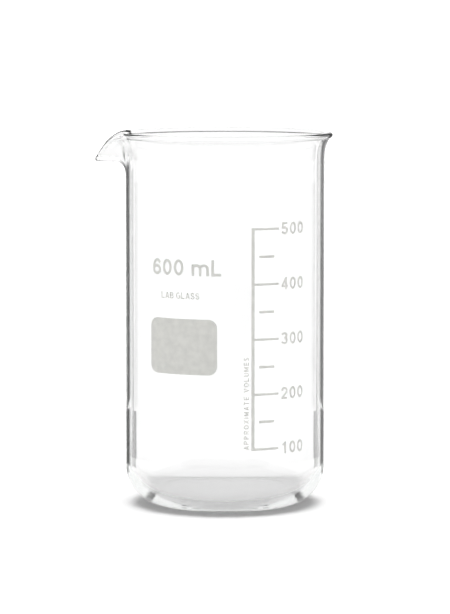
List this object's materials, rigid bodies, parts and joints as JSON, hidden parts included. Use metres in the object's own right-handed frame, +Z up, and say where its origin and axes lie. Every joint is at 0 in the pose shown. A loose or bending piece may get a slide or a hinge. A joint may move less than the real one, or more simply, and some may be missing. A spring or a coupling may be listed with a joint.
{
  "type": "laboratory beaker",
  "caption": "Tall glass laboratory beaker with a flared rim, a pouring spout, a rounded base, a printed volume scale and a patch to write on.",
  "frame": {"origin": "centre of the flat underside of the base, on the beaker's axis", "axes": "+Z up along the beaker's axis towards the rim; -X along the pouring spout; -Y out of the printed side"},
  "size_m": [0.0953, 0.0864, 0.15],
  "materials": {
    "glass": "clear colourless borosilicate glass, fire-polished, very faintly green at its edges",
    "enamel": "thin fired enamel print, pale warm grey, matt, slightly see-through"
  },
  "bodies": {
    "root": {"beaker_glass": "glass", "capacity_01_6": "enamel", "capacity_02_0": "enamel", "capacity_03_0": "enamel", "capacity_04_m": "enamel", "capacity_05_L": "enamel", "caption_01_A": "enamel", "caption_02_P": "enamel", "caption_03_P": "enamel", "caption_04_R": "enamel", "caption_05_O": "enamel", "caption_06_X": "enamel", "caption_07_I": "enamel", "caption_08_M": "enamel", "caption_09_A": "enamel", "caption_10_T": "enamel", "caption_11_E": "enamel", "caption_12_V": "enamel", "caption_13_O": "enamel", "caption_14_L": "enamel", "caption_15_U": "enamel", "caption_16_M": "enamel", "caption_17_E": "enamel", "caption_18_S": "enamel", "half_mark_150": "enamel", "half_mark_250": "enamel", "half_mark_350": "enamel", "half_mark_450": "enamel", "note_01_L": "enamel", "note_02_A": "enamel", "note_03_B": "enamel", "note_04_G": "enamel", "note_05_L": "enamel", "note_06_A": "enamel", "note_07_S": "enamel", "note_08_S": "enamel", "numeral_100_figure_1": "enamel", "numeral_100_figure_2": "enamel", "numeral_100_figure_3": "enamel", "numeral_200_figure_1": "enamel", "numeral_200_figure_2": "enamel", "numeral_200_figure_3": "enamel", "numeral_300_figure_1": "enamel", "numeral_300_figure_2": "enamel", "numeral_300_figure_3": "enamel", "numeral_400_figure_1": "enamel", "numeral_400_figure_2": "enamel", "numeral_400_figure_3": "enamel", "numeral_500_figure_1": "enamel", "numeral_500_figure_2": "enamel", "numeral_500_figure_3": "enamel", "scale_ladder": "enamel", "writing_patch": "enamel"}
  },
  "joints": []
}
